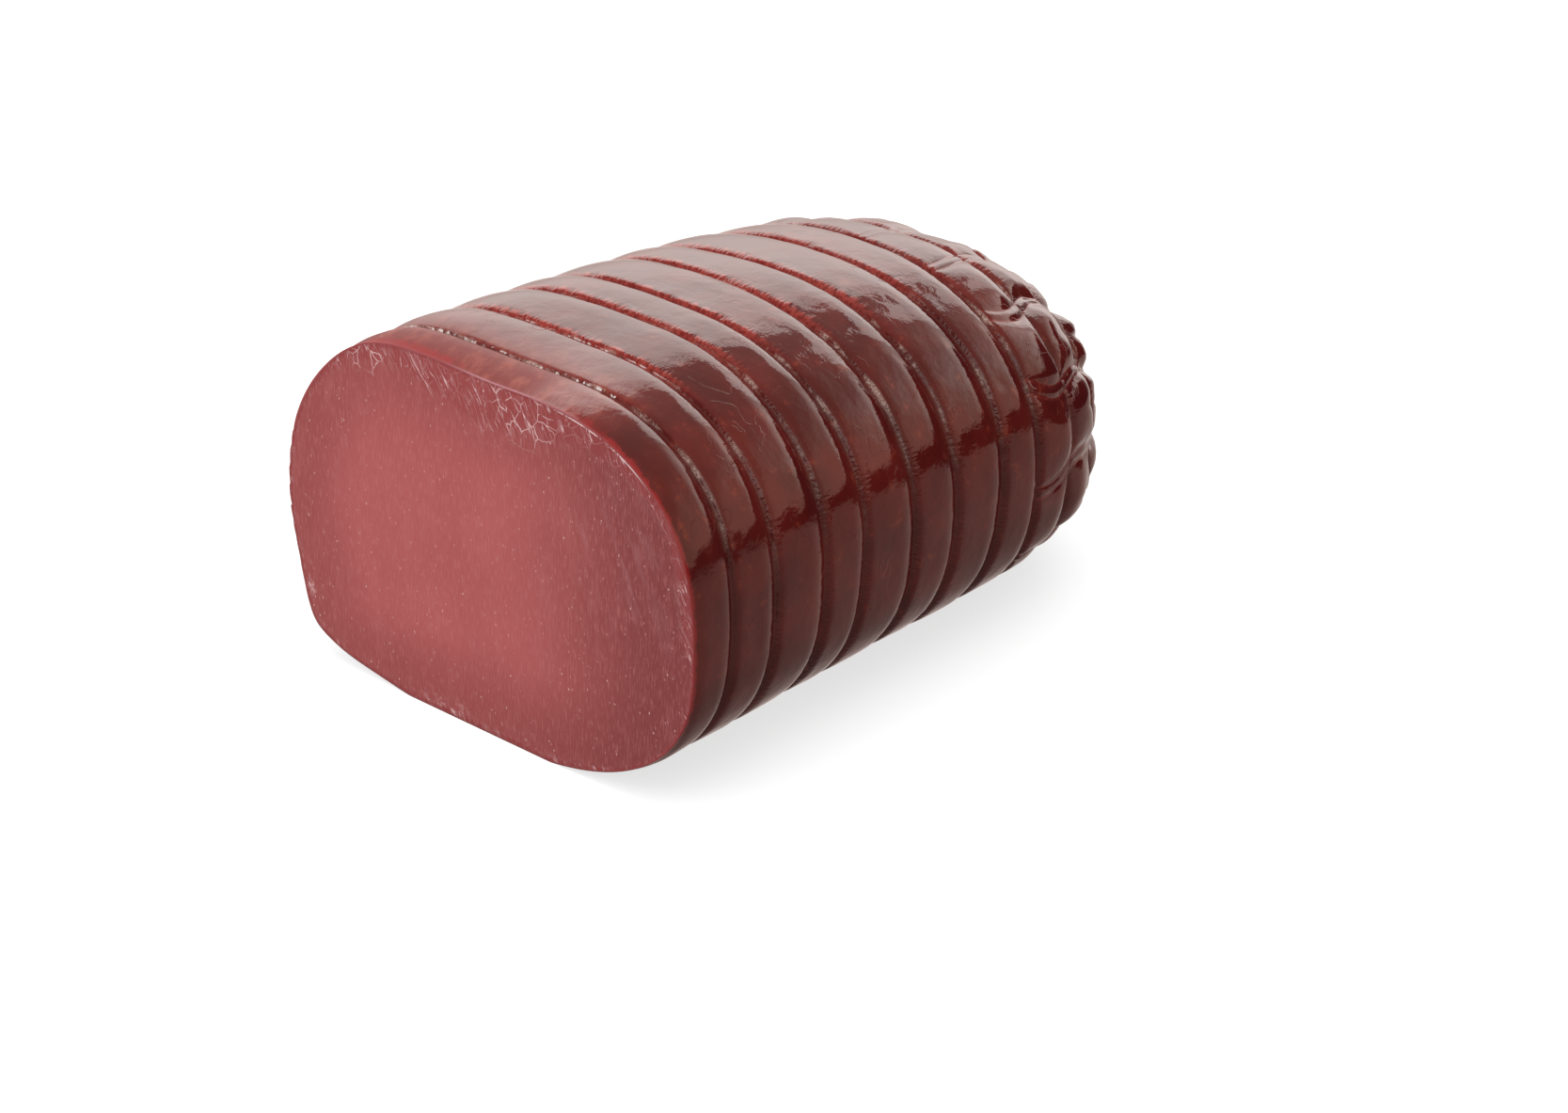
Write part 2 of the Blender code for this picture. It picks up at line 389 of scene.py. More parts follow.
def imprint(path, turn, cords, points):
    """Height of the skin over the bare form, and tables of what lies there for the material."""
    edges = np.concatenate([[0.0], RINGS, [PATH_END]])
    band = np.clip(np.searchsorted(edges, path, side="right") - 1, 0, len(edges) - 2)
    share = (path - edges[band]) / (edges[band + 1] - edges[band])
    off = np.abs(2.0 * share - 1.0)
    near_bow = 1.0 - 0.1 * off ** 2 - 0.9 * off ** NEAR_SQUARENESS
    shoulder = np.clip((off - SHOULDER_START) / (1.0 - SHOULDER_START), 0.0, 1.0)
    bow = np.where(share < 0.5, near_bow, 1.0 - shoulder ** SHOULDER_ROUNDNESS)
    left = between(turn, *LEFT_SIDE)
    bow = blend(bow, 1.0 - off ** LEFT_SQUARENESS, left)
    first = RINGS[FIRST_NETTED_RING]
    netted = smooth(first - CORD_HALF_WIDTH, first + CORD_HALF_WIDTH, path)
    gathered = smooth(first, RINGS[-1], path)
    room = np.clip(np.interp(path, PATHS, CLOSINGS) / ROOMY_CLOSING, 0.0, 1.0)
    at_cut = smooth(0.0, CUT_MARGIN, path)
    aside = smooth(0.01, 0.14, turns_apart(turn, TOP_TURN))
    uneven = ripple(points, 9 * MM, "uneven")
    ring_fade = np.clip(0.80 + 0.30 * ripple(points, 26 * MM, "ring fade"), 0.25, 1.0)

    offset = path[..., None] - RINGS
    nearest = np.abs(offset).argmin(axis=-1)
    past = np.take_along_axis(offset, nearest[..., None], axis=-1)[..., 0]
    jagged = 1.0 + 0.25 * uneven + 0.30 * ripple(points, 4 * MM, "jags")
    first_ring = np.where(nearest == 0, 1.0, 0.0)
    far_width = blend(RING_FAR_WIDTH, SEAM_FAR_WIDTH, first_ring)
    far_wall = np.clip(1.0 - past / (far_width * np.maximum(jagged, 0.3)), 0.0, 1.0)
    ring = np.where(past < 0.0, hill(past, 0.0, RING_NEAR_WIDTH), far_wall) * ring_fade
    # Where the bottom of a ring groove gets a painted dark line of shade
    crease_shade = hill(past, 0.0, CREASE_SHADE_HALF_WIDTH) * ring_fade
    crust_width = np.clip(1.0 + 0.8 * ripple(points, 12 * MM, "crust width"), 0.3, 2.0)
    crust_width = CRUST_HALF_WIDTH * crust_width
    on_top = between(turn, *UPPER_SIDE)
    crusted = np.maximum(smooth(0.35, 0.75, aside), on_top * np.take(CRUST_ON_TOP, nearest))
    crust = hill(past, CRUST_OFFSET, crust_width) * crusted
    crust = crust * blend(0.2, 1.0, between(turn, *CRUSTED_SIDE))

    cord_share = cords % 1.0
    cell = np.floor(cords).astype(int)
    width = SKIN_ROUND / CORDS_ROUND * np.maximum(room, 0.05)
    from_pair = np.minimum(cord_share, 1.0 - cord_share) * width
    parting = smooth(RINGS[8], RINGS[10], path)
    pair_half = CORD_PAIR_GAP / 2.0 * room * (1.0 - 0.8 * parting)
    from_line = (from_pair - pair_half) / CORD_HALF_WIDTH
    cord = hill(from_line, 0.0, 1.0) * netted
    dent = hill(from_line, 0.0, 1.0 + 0.8 * aside + gathered) * netted
    inner = np.clip((from_pair - pair_half) / (width / 2.0 - pair_half), 0.0, 1.0)
    inner = inner * blend(0.35, 1.0, smooth(0.0, 0.35, inner))
    parted = parting * cell_draw(band, cell, 0.4, 1.0, "parted cords")
    one_pillow = 1.0 - (1.0 - inner) ** PILLOW_ROUNDNESS
    two_pillows = 1.0 - np.abs(1.0 - 2.0 * inner) ** PILLOW_ROUNDNESS
    pillow = blend(one_pillow, two_pillows, parted)
    by_tie = smooth(RINGS[-4], RINGS[-2], path)
    own_crown = cell_draw(band, cell, 0.5, 1.4, "own crown")
    own_crown = blend(0.95, own_crown, 0.55 + 0.45 * by_tie)
    pillowed = smooth(first - 2 * MM, RINGS[8] + 4 * MM, path) * blend(0.4, 1.0, aside)
    pillowed = np.maximum(pillowed, gathered)
    bow = blend(bow, 1.0 - off ** PILLOW_SQUARENESS, pillowed)
    crown = blend(blend(BAND_CROWN_TOP, BAND_CROWN_SIDE, aside), BAND_CROWN_LEFT, left)
    crown = crown * (bow - 0.6) * (1.0 - pillowed)
    crown = crown + CELL_CROWN * pillowed * (bow * pillow * own_crown - 0.85)

    ring_press = blend(RING_DEPTH_TOP, RING_DEPTH_SIDE, aside) * ring * (1.0 + 0.8 * gathered)
    ring_press = ring_press * (1.0 - 0.15 * left)
    cord_press = CORD_DEPTH * (0.8 + 0.3 * uneven) * (0.45 + 0.35 * aside)
    cord_press = cord_press * (1.0 - 0.55 * gathered) * dent
    puckered = smooth(0.55, 1.1, ripple(points, 34 * MM, "pucker places"))
    puckered = puckered * relief(points, PUCKERS, "puckers")
    lumps = relief(points, BROAD_LUMPS, "broad lumps") + relief(points, FINE_LUMPS, "fine lumps")
    lumps = lumps + puckered
    knobbly = relief(points, BROAD_KNOBS, "broad knobs") + relief(points, FINE_KNOBS, "fine knobs")
    knobbly = knobbly * smooth(RINGS[-6], RINGS[-3], path) * (1.0 + 1.3 * by_tie)
    raised = LEFT_RISE * left * between(path, (0.0, 20 * MM), (95 * MM, 125 * MM))
    height = (crown - np.maximum(ring_press, cord_press) + knobbly) * room + lumps + raised
    height = height * at_cut
    wall = hill(past, RING_FAR_WIDTH / 2.0, RING_FAR_WIDTH)
    glints = hill(past, GLINT_OFFSET, GLINT_HALF_WIDTH) * on_top * np.take(GLINTS_ON_TOP, nearest)
    # crease and seam mark painted shade at the bottom of the ring grooves, seam only at the first
    # ring
    marks = {"crease_shade": crease_shade, "cord": cord, "crust": crust, "glints": glints,
             "wall": wall * (1.0 - first_ring), "seam": crease_shade * first_ring}
    return height, marks


def loop_paths():
    """Paths of the loops: close together at the rings, wider on the bands."""
    paths = list(CUT_EDGE_STEPS)
    near = np.array(RING_STEPS) * MM
    for ring in RINGS:
        start, following = paths[-1], ring + near[0]
        steps = int(np.ceil((following - start) / BAND_STEP))
        paths += list(start + (following - start) * np.arange(1, steps) / steps)
        paths += list(ring + near)
    start = paths[-1]
    steps = int(np.ceil((PATH_END - start) / TIED_STEP))
    paths += list(start + (PATH_END - TIE_GAP - start) * np.arange(1, steps + 1) / steps)
    return np.array(paths)


def column_cords():
    """Places of the columns, counted in cords: close together at the lines of each cord."""
    shares = np.array([0.0] + CORD_STEPS + [0.5] + [1.0 - step for step in reversed(CORD_STEPS)])
    return (np.arange(CORDS_ROUND)[:, None] + shares).ravel()


def grid_faces(rows, columns):
    """Quads of a grid that closes round its columns."""
    row, column = np.meshgrid(np.arange(rows - 1), np.arange(columns), indexing="ij")
    following = (column + 1) % columns
    corners = [row * columns + column, (row + 1) * columns + column,
               (row + 1) * columns + following, row * columns + following]
    return np.stack([c.ravel() for c in corners], axis=-1)


def veined(turn, from_rim):
    """How much white tissue the cut face shows: most at its top, some at its other edges."""
    reach = 1.5 + 15.0 * hill(turn, TOP_TURN, 0.11)
    reach = reach + 4.0 * hill(turn, 0.03, 0.05)
    reach = reach + 0.8 * hill(turn, 0.74, 0.10)
    return 1.0 - smooth(0.45, 1.0, from_rim / reach)


def tied_wander(path, points):
    """How far the rings stray by the tie, on top of their own wander."""
    stray = TIED_WANDER * ripple(points, 26 * MM, "tied wander")
    return stray * smooth(RINGS[FIRST_NETTED_RING], RINGS[-4], path)


def nicks(turn):
    """Small steps where the knife caught the left edge of the cut, and its sharp lower corner."""
    corner = CORNER_RISE * hill(turn, CORNER_TURN, CORNER_SPREAD)
    return corner - NICK_DEPTH * ((turn * NICKS_ROUND) % 1.0) ** 2 * between(turn, *NICKED_SIDE)


def whole_mesh(name, points, quads, fan, tables):
    """A smooth mesh of a grid's quads and one fan, with a number for each point from each table."""
    mesh = bpy.data.meshes.new(name)
    mesh.from_pydata(points.tolist(), [], quads.tolist() + fan.tolist())
    for table, values in tables.items():
        layer = mesh.attributes.new(table, "FLOAT", "POINT")
        layer.data.foreach_set("value", values.astype(np.float32))
    mesh.shade_smooth()
    mesh.validate()
    mesh.update()
    return mesh


def log_meshes(shift):
    """The skin, from a lip on the cut face to the tie, and the cut face within that lip."""
    paths = loop_paths()
    path, cords = np.meshgrid(paths, column_cords(), indexing="ij")
    turn = cords / CORDS_ROUND
    own_wander = CORD_WANDER * blend(1.0, 0.45, smooth(RINGS[FIRST_NETTED_RING], RINGS[-3], path))
    own_wander = own_wander * ripple(bare_skin(path, turn), 30 * MM, "cord wander")
    turn = (turn - own_wander / CORDS_ROUND) % 1.0
    strayed = path + ring_wander(path, turn)
    strayed = strayed + tied_wander(path, bare_skin(strayed, turn))
    bare = bare_skin(strayed, turn)
    height, marks = imprint(path, turn, cords, bare)
    height = height + nicks(turn) * (1.0 - smooth(0.0, 1.6 * MM, path))
    skin = bare + outward(strayed, turn) * height[..., None]
    skin[0, :, 1] = 0.0
    skin[..., 2] = np.maximum(skin[..., 2], 0.0)

    middle = np.array([0.0, 0.0, WIDEST_LEVEL])
    reach = np.linalg.norm(skin[0] - middle, axis=-1)
    lip = middle + (skin[0] - middle) * (1.0 - LIP / reach)[:, None]
    share = np.linspace(0.0, 1.0, FACE_LOOPS + 1)[1:]
    share = 1.0 - (1.0 - share) ** FACE_CROWDING
    face = middle + (lip - middle) * share[:, None, None]
    tie = bare_skin(np.array([PATH_END]), np.array([0.0]))[0]

    column = np.arange(STEPS_ROUND)
    following = (column + 1) % STEPS_ROUND
    rows = len(paths) + 1
    last = (rows - 1) * STEPS_ROUND
    tip = np.full_like(column, rows * STEPS_ROUND)
    fan = np.stack([tip, last + following, last + column], axis=-1)
    upper_right = smooth(0.0, 0.5, 1.0 - turns_apart(turn, 0.06) / 0.17)
    # top: where the lip along the top rim carries a painted highlight
    top = smooth(0.0, 0.8, 1.0 - turns_apart(turn, 0.26) / 0.17)
    red_reach = 1.6 + 2.6 * hill(turn, 0.18, 0.035) + 4.4 * hill(turn, 0.33, 0.06)
    red_place = np.maximum(upper_right, between(turn, *RED_TOP))
    red_edge = (1.0 - smooth(0.2, 1.0, path / (red_reach * MM))) * red_place
    tables = {"path": path, "red_edge": red_edge, "top": top,
              "upper": between(turn, *UPPER_SIDE), "matt": between(turn, *MATT_SIDE),
              "lip": np.where(path > 0.0, 0.0, 1.0), **marks}
    tables = {name: np.concatenate([values[0], values.ravel(), [values[-1, 0]]])
              for name, values in tables.items()}
    points = np.concatenate([lip, skin.reshape(-1, 3), [tie]]) + shift
    skin_mesh = whole_mesh("log_skin", points, grid_faces(rows, STEPS_ROUND), fan, tables)

    from_rim = LIP / MM + reach * (1.0 - share[:, None]) / MM
    round_face = turn[0] * np.ones((len(share), 1))
    tip = np.full_like(column, len(share) * STEPS_ROUND)
    fan = np.stack([tip, column, following], axis=-1)
    flaky = hill(round_face, 0.745, 0.055) + hill(round_face, 0.582, 0.022)
    flaky = flaky * between(from_rim, (0.7, 1.6), (2.5, 5.5))
    # rim_highlight_turns: where a painted highlight line runs just inside the upper right rim
    tables = {"from_rim": np.append(from_rim.ravel(), CUT_HEIGHT / 2.0 / MM),
              "rim_highlight_turns": np.append(hill(round_face, 0.155, 0.035).ravel(), 0.0),
              "flaky": np.append(flaky.ravel(), 0.0),
              "veined": np.append(veined(round_face, from_rim).ravel(), 0.0)}
    points = np.concatenate([face.reshape(-1, 3), [middle]]) + shift
    face_mesh = whole_mesh("log_face", points, grid_faces(len(share), STEPS_ROUND), fan, tables)
    return skin_mesh, face_mesh


# Materials
class Nodes:
    """Short calls for building the nodes of a material or a world."""

    def __init__(self, owner):
        owner.use_nodes = True
        self.owner = owner
        self.tree = owner.node_tree
        self.shader = self.tree.nodes.get("Principled BSDF")

    def add(self, kind, **values):
        node = self.tree.nodes.new(kind)
        for name, value in values.items():
            setattr(node, name, value)
        return node

    def link(self, source, target):
        self.tree.links.new(source, target)

    def feed(self, socket, value):
        if isinstance(value, bpy.types.NodeSocket):
            self.link(value, socket)
        else:
            socket.default_value = value

    def attribute(self, name):
        return self.add("ShaderNodeAttribute", attribute_name=name).outputs["Fac"]

    def place(self, scale=(1.0, 1.0, 1.0), rotation=(0.0, 0.0, 0.0)):
        """The place on the object, turned and then stretched."""
        where = self.add("ShaderNodeTexCoord").outputs["Object"]
        for name, value in (("Rotation", rotation), ("Scale", scale)):
            mapping = self.add("ShaderNodeMapping")
            mapping.inputs[name].default_value = value
            self.link(where, mapping.inputs["Vector"])
            where = mapping.outputs["Vector"]
        return where

    def noise(self, where, scale, detail=3.0, rough=0.5):
        node = self.add("ShaderNodeTexNoise")
        self.link(where, node.inputs["Vector"])
        node.inputs["Scale"].default_value = scale
        node.inputs["Detail"].default_value = detail
        node.inputs["Roughness"].default_value = rough
        return node.outputs["Fac"]

    def cells(self, where, scale):
        """Distance to the nearest border between irregular cells."""
        node = self.add("ShaderNodeTexVoronoi", feature="DISTANCE_TO_EDGE")
        self.link(where, node.inputs["Vector"])
        node.inputs["Scale"].default_value = scale
        return node.outputs["Distance"]

    def dots(self, where, scale):
        """Distance to the nearest of scattered points, in cells."""
        node = self.add("ShaderNodeTexVoronoi", feature="F1")
        self.link(where, node.inputs["Vector"])
        node.inputs["Scale"].default_value = scale
        return node.outputs["Distance"]

    def shifted(self, where, scale, amount):
        """The place, pushed about by noise."""
        node = self.add("ShaderNodeTexNoise")
        self.link(where, node.inputs["Vector"])
        node.inputs["Scale"].default_value = scale
        node.inputs["Detail"].default_value = 2.0
        centred = self.add("ShaderNodeVectorMath", operation="SUBTRACT")
        self.link(node.outputs["Color"], centred.inputs[0])
        centred.inputs[1].default_value = (0.5, 0.5, 0.5)
        sized = self.add("ShaderNodeVectorMath", operation="SCALE")
        self.link(centred.outputs["Vector"], sized.inputs[0])
        sized.inputs["Scale"].default_value = amount
        total = self.add("ShaderNodeVectorMath", operation="ADD")
        self.link(where, total.inputs[0])
        self.link(sized.outputs["Vector"], total.inputs[1])
        return total.outputs["Vector"]

    def math(self, operation, first, second=0.0):
        node = self.add("ShaderNodeMath", operation=operation)
        self.feed(node.inputs[0], first)
        self.feed(node.inputs[1], second)
        return node.outputs["Value"]

    def threads(self, where, scale, half):
        """Thin winding lines, where a noise passes its middle value."""
        off = self.math("ABSOLUTE", self.math("SUBTRACT", self.noise(where, scale, 2.0), 0.5))
        return self.span(off, half * 0.4, half, 1.0, 0.0)

    def near(self, x, z, reach):
        """1 at that place of the cut face, fading to 0 at that distance."""
        away = self.add("ShaderNodeVectorMath", operation="DISTANCE")
        self.link(self.place((1.0, 0.0, 1.0)), away.inputs[0])
        away.inputs[1].default_value = (x, 0.0, z)
        return self.span(away.outputs["Value"], 0.0, reach, 1.0, 0.0)

    def product(self, first, *others):
        for other in others:
            first = self.math("MULTIPLY", first, other)
        return first

    def span(self, value, low, high, to_low=0.0, to_high=1.0):
        node = self.add("ShaderNodeMapRange", interpolation_type="SMOOTHSTEP")
        self.link(value, node.inputs["Value"])
        node.inputs["From Min"].default_value = low
        node.inputs["From Max"].default_value = high
        node.inputs["To Min"].default_value = to_low
        node.inputs["To Max"].default_value = to_high
        return node.outputs["Result"]

    def mix(self, share, first, second):
        node = self.add("ShaderNodeMix", data_type="RGBA")
        self.feed(node.inputs["Factor"], share)
        self.feed(node.inputs["A"], first)
        self.feed(node.inputs["B"], second)
        return node.outputs["Result"]

    def bump(self, height, strength, distance, before=None):
        node = self.add("ShaderNodeBump")
        node.inputs["Strength"].default_value = strength
        node.inputs["Distance"].default_value = distance
        self.link(height, node.inputs["Height"])
        if before is not None:
            self.link(before, node.inputs["Normal"])
        return node.outputs["Normal"]


def skin_material():
    """Wet-looking glossy dark red-brown casing, pale crumbs in side grooves; painted groove shade,
    highlights.
    """
    n = Nodes(bpy.data.materials.new("bresaola_skin"))
    plain = n.place()
    path = n.attribute("path")
    cloud = n.noise(plain, 60.0, 4.0, 0.6)
    fleck = n.noise(plain, 240.0, 3.0, 0.6)
    colour = n.mix(n.span(cloud, 0.35, 0.72), SKIN["dark"], SKIN["light"])
    colour = n.mix(n.product(n.span(fleck, 0.60, 0.76), 0.50), colour, SKIN["fleck"])
    upper = n.attribute("upper")
    fresh = n.product(n.span(path, 8 * MM, 30 * MM, 1.0, 0.0), upper)
    patch = n.noise(n.place((1.0, 0.35, 1.0), (0.0, 0.0, np.radians(-25.0))), 380.0, 4.0, 0.65)
    fresh_colour = n.mix(n.span(patch, 0.42, 0.72), SKIN["fresh"], SKIN["pale fresh"])
    colour = n.mix(n.product(fresh, 0.85), colour, fresh_colour)
    red_edge = n.attribute("red_edge")
    ragged = n.math("ADD", red_edge, n.span(patch, 0.35, 0.65, -0.45, 0.25))
    colour = n.mix(n.product(n.span(ragged, 0.15, 0.8), red_edge), colour, SKIN["red edge"])
    lip = n.attribute("lip")
    # Painted highlight: the lip is paler along the top rim
    lip_colour = n.mix(n.attribute("top"), SKIN["lip"], SKIN["lip highlight"])
    lip_colour = n.mix(n.product(red_edge, 0.7), lip_colour, SKIN["red lip"])
    colour = n.mix(lip, colour, lip_colour)

    stitches = n.noise(n.place((1.0, 0.15, 1.0)), 1300.0, 1.0, 0.5)
    ragged_wall = n.math("ADD", n.attribute("wall"), n.span(stitches, 0.3, 0.7, -0.35, 0.25))
    wall = n.product(n.span(ragged_wall, 0.35, 0.65), upper)
    wall = n.math("MAXIMUM", wall, n.span(n.attribute("cord"), 0.3, 0.9, 0.0, 0.7))
    walled = n.product(wall, 0.85, n.span(path, 100 * MM, 130 * MM, 1.0, 0.55))
    wall_colour = n.mix(n.span(stitches, 0.35, 0.65), SKIN["wall"], SKIN["pale wall"])
    colour = n.mix(walled, colour, wall_colour)
    crumbs = n.noise(plain, 2200.0, 4.0, 0.75)
    crust = n.product(n.span(n.attribute("crust"), 0.10, 0.95), n.span(crumbs, 0.22, 0.52, 0.3, 1.0),
                      n.span(n.noise(plain, 150.0, 5.0, 0.75), 0.44, 0.60))
    # Painted shade: a patchy dark line at the bottom of the ring grooves, and along the first ring's
    # groove on the upper side
    crease_shade = n.attribute("crease_shade")
    painted_crease_shade = n.product(n.span(crease_shade, 0.40, 0.85), n.span(n.noise(plain, 420.0), 0.52, 0.62))
    painted_crease_shade = n.math("MAXIMUM", n.product(painted_crease_shade, 0.45), n.product(n.attribute("seam"), upper, 0.9))
    colour = n.mix(painted_crease_shade, colour, SKIN["crease_shade"])
    # Painted highlight: pale glints in dashes along the first rings' far walls on the upper side
    painted_glints = n.product(n.span(n.attribute("glints"), 0.25, 0.8),
                       n.span(n.noise(plain, 700.0, 2.0, 0.5), 0.54, 0.60),
                       n.span(n.noise(plain, 120.0, 2.0, 0.5), 0.40, 0.55, 0.25, 1.0))
    crust_colour = n.mix(n.span(crumbs, 0.42, 0.62), SKIN["crust"], SKIN["pale crust"])
    colour = n.mix(n.product(crust, 0.75), colour, crust_colour)
    colour = n.mix(n.product(painted_glints, 0.9), colour, SKIN["glint"])
    grain = n.product(n.span(n.dots(plain, 110.0), 0.02, 0.045, 1.0, 0.0),
                      n.span(cloud, 0.52, 0.58))
    colour = n.mix(n.product(grain, 0.8), colour, SKIN["grain"])
    n.link(colour, n.shader.inputs["Base Color"])
    crust_and_glints = n.math("MAXIMUM", crust, painted_glints)
    first_band = n.product(n.span(path, 2 * MM, 30 * MM, 0.50, 0.0), n.attribute("matt"))
    dull = n.math("MAXIMUM", n.product(crust_and_glints, 0.40), first_band)
    roughness = n.math("ADD", n.span(path, 12 * MM, 36 * MM, 0.12, 0.055), dull)
    n.link(roughness, n.shader.inputs["Roughness"])
    n.shader.inputs["IOR"].default_value = 1.5
    n.shader.inputs["Specular Tint"].default_value = GLOSS_TINT
    brushed = n.bump(n.product(fresh, patch), 0.5, 0.3 * MM)
    uneven = n.noise(plain, 230.0, 4.0, 0.5)
    fine = n.bump(uneven, 0.5, 0.3 * MM, brushed)
    near_crease = n.product(n.attribute("wall"), stitches)
    serrated = n.bump(near_crease, 0.7, 0.3 * MM, fine)
    askew = n.place((0.22, 1.0, 1.0), (0.0, np.radians(45.0), 0.0))
    wrinkles = n.product(n.threads(askew, 110.0, 0.010), n.span(n.noise(plain, 55.0), 0.53, 0.62))
    n.link(n.bump(wrinkles, 0.25, 0.2 * MM, serrated), n.shader.inputs["Normal"])
    return n.owner


def face_material():
    """Freshly cut lean meat: satin pink-red, upright fibres, specks, white tissue, dark rim, painted
    sheen and rim highlight.
    """
    n = Nodes(bpy.data.materials.new("bresaola_cut_face"))
    plain = n.place()
    from_rim = n.attribute("from_rim")
    cloud = n.noise(plain, 30.0, 4.0, 0.6)
    colour = n.mix(n.span(cloud, 0.3, 0.7), FACE["lean"], FACE["pale lean"])
    outer = n.span(from_rim, 4.0, 28.0, 1.0, 0.0)
    colour = n.mix(n.product(outer, 0.85), colour, FACE["outer"])
    along = n.add("ShaderNodeSeparateXYZ")
    n.link(plain, along.inputs["Vector"])
    rightward = n.span(along.outputs["X"], -5 * MM, 62 * MM)
    colour = n.mix(n.product(rightward, 0.9), colour, FACE["right"])
    fibre = n.noise(n.place((1.0, 1.0, 0.14)), 2300.0, 2.0, 0.6)
    broad = n.noise(n.place((1.0, 1.0, 0.20)), 420.0, 3.0, 0.6)
    colour = n.mix(n.span(fibre, 0.48, 0.74, 0.0, 0.36), colour, FACE["fine fibre"])
    colour = n.mix(n.span(broad, 0.48, 0.76, 0.0, 0.15), colour, FACE["broad fibre"])
    # Painted sheen: a soft pale streaky haze on the right middle of the face
    painted_sheen = n.noise(n.place((1.0, 1.0, 0.25), (0.0, np.radians(24.0), 0.0)), 330.0, 4.0, 0.65)
    painted_sheen = n.product(n.span(painted_sheen, 0.46, 0.74), n.near(*SHEEN_PLACE, SHEEN_REACH))
    colour = n.mix(n.product(painted_sheen, 0.22), colour, FACE["painted_sheen"])

    veiny = n.attribute("veined")
    colour = n.mix(n.product(n.span(veiny, 0.2, 1.0), 0.45), colour, FACE["round veins"])
    speck = n.dots(n.place((1.0, 1.0, 0.7)), 470.0)
    speck = n.product(n.span(speck, 0.05, 0.12, 1.0, 0.0),
                      n.span(n.noise(plain, 230.0), 0.42, 0.60))
    colour = n.mix(n.product(speck, 0.8), colour, FACE["speck"])
    dust = n.product(n.span(n.dots(n.place((1.0, 1.0, 0.45)), 900.0), 0.07, 0.19, 1.0, 0.0),
                     n.span(n.noise(plain, 500.0), 0.46, 0.58))
    colour = n.mix(n.product(dust, 0.55), colour, FACE["dust"])
    flakes = n.product(n.attribute("flaky"), n.span(n.noise(plain, 330.0, 5.0, 0.7), 0.53, 0.63),
                       n.span(n.noise(plain, 1100.0, 2.0), 0.42, 0.58, 0.3, 1.0))
    colour = n.mix(n.product(flakes, 0.7), colour, FACE["flake"])

    bent = n.shifted(plain, 240.0, 2.2 * MM)
    net = n.span(n.cells(bent, 240.0), 0.008, 0.034, 1.0, 0.0)
    netted = n.math("MAXIMUM", n.near(*NET_PLACE, NET_REACH),
                    n.near(*CORNER_NET_PLACE, CORNER_NET_REACH))
    netted = n.span(netted, 0.10, 0.55)
    net = n.product(net, n.math("MAXIMUM", netted, n.product(veiny, 0.2)),
                    n.span(n.noise(plain, 300.0), 0.38, 0.48))
    slanted = n.place((1.0, 1.0, 0.07), (0.0, np.radians(38.0), 0.0))
    streaks = n.product(n.threads(slanted, 520.0, 0.011), n.span(n.noise(plain, 150.0), 0.42, 0.54))
    steeper = n.place((1.0, 1.0, 0.08), (0.0, np.radians(24.0), 0.0))
    hairs = n.product(n.threads(steeper, 560.0, 0.008),
                      n.span(n.noise(n.place((1.3, 1.0, 1.0)), 170.0), 0.46, 0.56))
    vein = n.math("MAXIMUM", net, n.product(n.math("MAXIMUM", streaks, hairs), veiny))
    colour = n.mix(n.product(vein, 0.85), colour, FACE["vein"])

    rim = n.span(from_rim, 0.6, 1.5, 1.0, 0.0)
    colour = n.mix(n.product(rim, 0.5), colour, FACE["rim"])
    # Painted highlight: a thin pale line just inside the upper right rim
    beside = n.span(n.math("ABSOLUTE", n.math("SUBTRACT", from_rim, 0.75)), 0.08, 0.24, 1.0, 0.0)
    rim_highlight = n.product(beside, n.span(n.attribute("rim_highlight_turns"), 0.1, 0.6),
                          n.span(broad, 0.40, 0.50))
    colour = n.mix(n.product(rim_highlight, 0.9), colour, FACE["rim highlight"])
    n.link(colour, n.shader.inputs["Base Color"])
    n.shader.inputs["Roughness"].default_value = 0.50
    rough_cut = n.bump(fibre, 0.3, 0.25 * MM)
    n.link(n.bump(vein, 0.3, 0.25 * MM, rough_cut), n.shader.inputs["Normal"])
    return n.owner


def floor_material():
    """White stage, lit a little from within so that shadows on it stay faint."""
    n = Nodes(bpy.data.materials.new("studio_floor"))
    n.shader.inputs["Base Color"].default_value = STAGE_GREY
    n.shader.inputs["Roughness"].default_value = 0.9
    n.shader.inputs["Specular IOR Level"].default_value = 0.0
    n.shader.inputs["Emission Color"].default_value = WHITE
    seen = n.add("ShaderNodeLightPath").outputs["Is Camera Ray"]
    n.link(n.product(seen, FLOOR_GLOW), n.shader.inputs["Emission Strength"])
    return n.owner


# Studio
def add_camera(foot):
    """The camera stands where the foot of the cut falls on its pixel at its depth."""
    forward = np.array([-np.sin(AZIMUTH) * np.cos(ELEVATION),
                        np.cos(AZIMUTH) * np.cos(ELEVATION), -np.sin(ELEVATION)])
    right = np.array([np.cos(AZIMUTH), np.sin(AZIMUTH), 0.0])
    up = np.cross(right, forward)
    aside = (FOOT_PIXEL[0] - PICTURE[0] / 2.0) / FOCAL_PIXELS * FOOT_DEPTH
    above = (PICTURE[1] / 2.0 - FOOT_PIXEL[1]) / FOCAL_PIXELS * FOOT_DEPTH
    place = foot - forward * FOOT_DEPTH - right * aside - up * above
    data = bpy.data.cameras.new("camera")
    data.sensor_width = SENSOR
    data.lens = FOCAL_PIXELS / PICTURE[0] * SENSOR
    data.clip_start = 0.01
    camera = bpy.data.objects.new("camera", data)
    bpy.context.scene.collection.objects.link(camera)
    turned = Matrix(np.stack([right, up, -forward], axis=-1).tolist()).to_4x4()
    camera.matrix_world = Matrix.Translation(Vector(place)) @ turned
    bpy.context.scene.camera = camera


